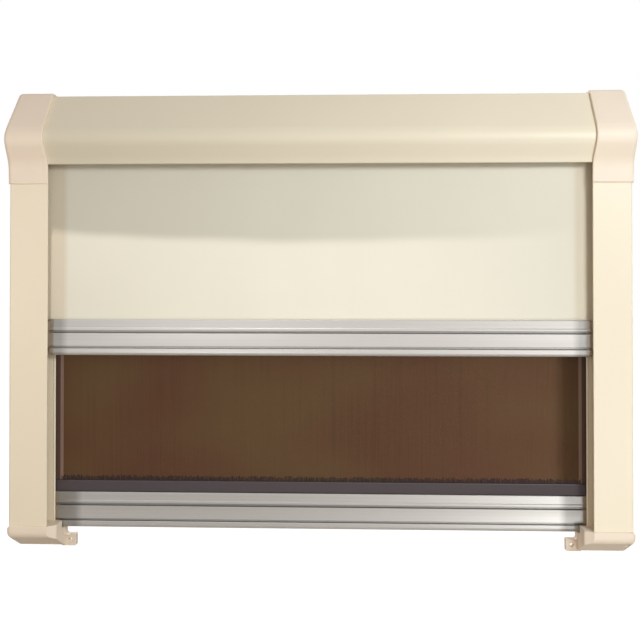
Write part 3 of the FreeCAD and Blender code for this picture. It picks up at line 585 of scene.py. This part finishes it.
def hanging_sheet(name, roller, plane, roll_r, bottom, shape, half_width_at, material):
    """A fabric from over its roller down to bottom, and the length of cloth it takes."""
    wrapped = roll_wrap(roller, plane - roller[0], roll_r + WRAP_LIFT)
    path = [(y, z, False) for y, z in wrapped]
    path += [(plane, z, True) for z in sections(roller[1], bottom, DROP_STEPS)[1:]]
    rows, lengths, along = [], [], 0.0
    before = wrapped[0]
    for y, z, free in path:
        along += math.dist(before, (y, z))
        before = (y, z)
        half_width = half_width_at(z) if free else FABRIC_HALF_WIDTH
        across = sections(-half_width, half_width, SHEET_COLUMNS)
        rows.append([Vector((x, y + (shape(x, z) if free else 0.0), z)) for x in across])
        lengths.append(along)
    return thick_sheet(name, rows, lengths, material), along


def winding(name, roller, roll_r, material):
    """The turns of fabric that stay on a roller, as one spiral, and the cloth they take."""
    first_r = TUBE_R + TUBE_GAP + LAYER / 2
    last_r = roll_r - LAYER / 2
    turns = (last_r - first_r) / LAYER
    steps = int(turns * TURN_STEPS)
    rows, lengths, along = [], [], 0.0
    before = round_roller(roller, first_r, 0.0)
    for i in range(steps + 1):
        angle = 2 * math.pi * turns * i / steps
        y, z = round_roller(roller, first_r + (last_r - first_r) * i / steps, angle)
        along += math.dist(before, (y, z))
        before = (y, z)
        across = sections(-FABRIC_HALF_WIDTH, FABRIC_HALF_WIDTH, WINDING_COLUMNS)
        rows.append([Vector((x, y, z)) for x in across])
        lengths.append(along)
    return thick_sheet(name, rows, lengths, material), along


# Each wave's share of the whole, then the width and the height over which it turns a radian
WAVES = ((0.45, 31.0, 210.0), (0.35, 17.0, -150.0), (0.20, 60.0, 45.0))

rng = random.Random(SEED)
cloth_phases = [rng.uniform(0, 2 * math.pi) for _ in WAVES]
mesh_phases = [rng.uniform(0, 2 * math.pi) for _ in WAVES]


def wave(x, z, phases):
    """Soft unevenness of a taut cloth, from -1 to 1."""
    value = 0.0
    for (share, across, up), phase in zip(WAVES, phases):
        value += share * math.sin(x / across + phase + z / up)
    return value


def held(z, top, bottom):
    """0 where the cloth leaves its roller and where the bar grips it, 1 half way down."""
    share = min(max((top - z) / (top - bottom), 0.0), 1.0)
    return math.sin(math.pi * share)


def cloth_shape(x, z):
    middle = 0.0
    if abs(x) < FABRIC_HALF_WIDTH:
        middle = math.cos(math.pi / 2 * x / FABRIC_HALF_WIDTH) ** 0.8
    taut = held(z, NIGHT_ROLLER[1], NIGHT_BAR_TOP)
    return taut * (CLOTH_BOW * middle + CLOTH_WAVE * wave(x, z, cloth_phases))


def mesh_shape(x, z):
    return MESH_WAVE * wave(x, z, mesh_phases) * held(z, SCREEN_ROLLER[1], SCREEN_STRIP_TOP)


def cloth_half_width(z):
    """The cloth is narrower where it runs in the bar."""
    return FABRIC_HALF_WIDTH if z > NIGHT_BAR_TOP + HEM_CLEARANCE else NIGHT_HEM_HALF_WIDTH


cloth, cloth_length = hanging_sheet(
    "night_cloth_sheet", NIGHT_ROLLER, NIGHT_PLANE, NIGHT_ROLL_R, NIGHT_HEM_BOTTOM, cloth_shape,
    cloth_half_width, cloth_weave,
)
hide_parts("night_cloth")
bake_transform(cloth)

mesh, mesh_length = hanging_sheet(
    "screen_mesh_sheet", SCREEN_ROLLER, SCREEN_PLANE, SCREEN_ROLL_R, SCREEN_MESH_BOTTOM, mesh_shape,
    lambda z: FABRIC_HALF_WIDTH, mesh_weave,
)
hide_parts("screen_mesh")
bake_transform(mesh)

for label, slot, roller_place, roll_radius, turns_material in (
    ("night", "night_cloth", NIGHT_ROLLER, NIGHT_ROLL_R, wound_night),
    ("screen", "screen_mesh", SCREEN_ROLLER, SCREEN_ROLL_R, wound_screen),
):
    turns_piece, turns_length = winding(
        label + "_winding", roller_place, roll_radius, turns_material
    )
    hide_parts(label + "_fabric_roll")
    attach(turns_piece, label + "_roller")


def cut_thread_ends(name, material):
    """Cut ends of the mesh's warp threads, which stand above the clamp strip."""
    ends = bmesh.new()
    x = END_MARGIN - FABRIC_HALF_WIDTH
    while x < FABRIC_HALF_WIDTH - END_MARGIN:
        width = rng.uniform(*END_WIDTHS)
        top = SCREEN_STRIP_TOP + HEM_BAND * rng.uniform(*END_HEIGHTS)
        low = (x, SCREEN_PLANE - END_FRONT, SCREEN_STRIP_TOP - END_ROOT)
        high = (x + width, SCREEN_PLANE - END_BACK, top)
        size = [(b - a) * MM for a, b in zip(low, high)]
        centre = [(a + b) / 2 * MM for a, b in zip(low, high)]
        made = bmesh.ops.create_cube(ends, size=1.0)
        bmesh.ops.scale(ends, vec=size, verts=made["verts"])
        bmesh.ops.translate(ends, vec=centre, verts=made["verts"])
        x += END_SPACING * rng.uniform(*END_GAPS)
    data = bpy.data.meshes.new(name)
    ends.to_mesh(data)
    ends.free()
    return put(name, data, material)


thread_ends = cut_thread_ends("screen_thread_ends", thread_fray)
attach(thread_ends, "screen_bar")


# Camera, fitted to the edges of the photograph

FOCAL_PX = 780.0
FRAME_PX = 640.0
PRINCIPAL = (330.28, 253.67)    # pixel that the lens looks straight at
SENSOR = 36.0
CAMERA_PLACE = (0.0382, -0.8339, -0.1401)
CAMERA_TILT = 90.610            # degrees from looking straight down
CAMERA_TURN = 1.786             # degrees to the left

camera_data = bpy.data.cameras.new("camera")
camera_data.sensor_width = SENSOR
camera_data.lens = FOCAL_PX / FRAME_PX * SENSOR
camera_data.shift_x = (FRAME_PX / 2 - PRINCIPAL[0]) / FRAME_PX
camera_data.shift_y = (PRINCIPAL[1] - FRAME_PX / 2) / FRAME_PX
camera = bpy.data.objects.new("camera", camera_data)
camera.location = CAMERA_PLACE
camera.rotation_euler = (math.radians(CAMERA_TILT), 0.0, math.radians(CAMERA_TURN))
bpy.context.scene.collection.objects.link(camera)
bpy.context.scene.camera = camera


# Floor and world

FLOOR_Z = -0.62
FLOOR_REACH = 8.0
FLOOR_CORNERS = ((-1, -1), (1, -1), (1, 1), (-1, 1))


def white_floor():
    """Pale floor: the camera sees it nearly white, and it throws a softer, warm light back up."""
    nodes = new_material("floor_white")
    path = nodes.add("LightPath")
    seen = nodes.add("BsdfDiffuse", Color=(0.3, 0.3, 0.3, 1))
    glow = nodes.add("Emission", Color=WHITE, Strength=0.9)
    both = nodes.add("AddShader")
    nodes.feed(both.inputs[0], seen.outputs["BSDF"])
    nodes.feed(both.inputs[1], glow.outputs["Emission"])
    bounce = nodes.add("BsdfDiffuse", Color=(0.62, 0.57, 0.51, 1))
    to_camera = path.outputs["Is Camera Ray"]
    nodes.show(nodes.mix_shaders(to_camera, bounce.outputs["BSDF"], both.outputs["Shader"]))
    return nodes.owner


floor_mesh = bpy.data.meshes.new("floor")
floor_mesh.from_pydata(
    [(x * FLOOR_REACH, y * FLOOR_REACH, FLOOR_Z) for x, y in FLOOR_CORNERS], [], [(0, 1, 2, 3)]
)
floor = put("floor", floor_mesh, white_floor())
floor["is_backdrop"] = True


def studio_world():
    """Soft warm light from all round, which is white to the camera, in reflections and through."""
    nodes = Nodes(bpy.data.worlds.new("studio"), "OutputWorld")
    path = nodes.add("LightPath")
    seen = nodes.math("MAXIMUM", path.outputs["Is Camera Ray"], path.outputs["Is Glossy Ray"])
    seen = nodes.math("MAXIMUM", seen, path.outputs["Is Transmission Ray"])
    ambient = nodes.add("Background", Color=(1.0, 0.92, 0.85, 1), Strength=0.36)
    white = nodes.add("Background", Color=WHITE, Strength=1.0)
    nodes.show(
        nodes.mix_shaders(seen, ambient.outputs["Background"], white.outputs["Background"])
    )
    return nodes.owner


bpy.context.scene.world = studio_world()


# Lamps

def aimed(name, data, at, aim):
    lamp = bpy.data.objects.new(name, data)
    lamp.location = at
    direction = Vector(aim) - Vector(at)
    lamp.rotation_euler = direction.to_track_quat("-Z", "Y").to_euler()
    bpy.context.scene.collection.objects.link(lamp)
    return lamp


def softbox(name, at, aim, size, watts, colour=(1.0, 1.0, 1.0)):
    data = bpy.data.lights.new(name, "AREA")
    data.shape = "DISK"
    data.size = size
    data.energy = watts
    data.color = colour
    return aimed(name, data, at, aim)


def spotlight(name, at, aim, radius, cone, watts, colour):
    data = bpy.data.lights.new(name, "SPOT")
    data.energy = watts
    data.shadow_soft_size = radius
    data.spot_size = math.radians(cone)
    data.spot_blend = 1.0
    data.color = colour
    return aimed(name, data, at, aim)


def light_only(lamp, pieces):
    """Keeps a lamp's light to some pieces, as the flags and small reflectors of a studio do."""
    lit = bpy.data.collections.new("lit_by_" + lamp.name)
    for piece in pieces:
        lit.objects.link(piece)
    lamp.light_linking.receiver_collection = lit


def all_but(left_out):
    return [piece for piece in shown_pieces() if piece not in left_out]


CENTRE = (0.0, -0.02, -0.2)     # the blind's middle
SIDE_AIM = (0.0, -0.02, -0.3)   # between the two bars
night_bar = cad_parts["night_bar_profile"]
screen_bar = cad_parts["screen_bar_profile"]
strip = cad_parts["screen_clamp_strip"]
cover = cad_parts["cassette_front_cover"]
bars = [night_bar, screen_bar]
fabrics = [cloth, mesh, thread_ends, strip]

# Main light from the upper right, which makes the right end brighter than the left
key = softbox(
    "key", at=(0.62, -0.87, 0.26), aim=CENTRE, size=0.34, watts=6.4, colour=(0.91, 1.0, 1.07)
)
light_only(key, [floor] + all_but(bars + [mesh]))

# Small light on the lower right corner
low = softbox(
    "low", at=(0.48, -0.75, -0.54), aim=(0.26, -0.03, -0.38), size=0.16, watts=1.4,
    colour=(0.95, 0.99, 1.0),
)
light_only(low, all_but([mesh, strip]))

# Sheen on the upper half of the night bar's hollow face
sheen = softbox(
    "sheen", at=(-0.24, -0.75, -0.49), aim=(-0.14, -0.03, -0.215), size=0.12, watts=1.2
)
light_only(sheen, [night_bar])

# Broad weak light from in front, into the shadows
front = softbox(
    "front", at=(0.0, -1.7, -0.15), aim=CENTRE, size=0.8, watts=2.2, colour=(1.0, 0.97, 0.92)
)
light_only(front, all_but(bars))

# Warm fill from the left, on the mouldings and rails
left_fill = softbox(
    "fill", at=(-0.60, -0.50, -0.16), aim=CENTRE, size=0.30, watts=0.9, colour=(1.0, 0.90, 0.84)
)
light_only(left_fill, all_but(bars + fabrics + [cover]))

# Light from behind, which shows the back in views from there
softbox("back", at=(-0.5, 1.5, 0.5), aim=CENTRE, size=0.6, watts=5.0)

# Light from the right on both bars and the mesh
right_side = softbox(
    "right_side", at=(1.3, -0.95, -0.42), aim=SIDE_AIM, size=0.4, watts=10.8,
    colour=(1.0, 1.0, 1.02),
)
light_only(right_side, bars + [mesh])

# Weaker light from the left on the screen bar
left_side = softbox(
    "left_side", at=(-1.3, -0.95, -0.42), aim=SIDE_AIM, size=0.4, watts=2.0,
    colour=(0.96, 1.0, 1.12),
)
light_only(left_side, [screen_bar])

# Bright line along the night bar's ridge
crown = softbox("crown", at=(-0.2, -0.25, 0.86), aim=(-0.1, -0.03, -0.22), size=0.1, watts=3.4)
light_only(crown, [night_bar])

# Light from above that the cassette cuts off, so that its shadow lies on the cloth
top = spotlight(
    "top", at=(-0.27, -0.251, 0.86), aim=(-0.12, -0.02, -0.2), radius=0.012, cone=46, watts=54.0,
    colour=(1.0, 1.0, 0.98),
)
light_only(top, [cloth])

bpy.context.scene.view_settings.view_transform = "Standard"
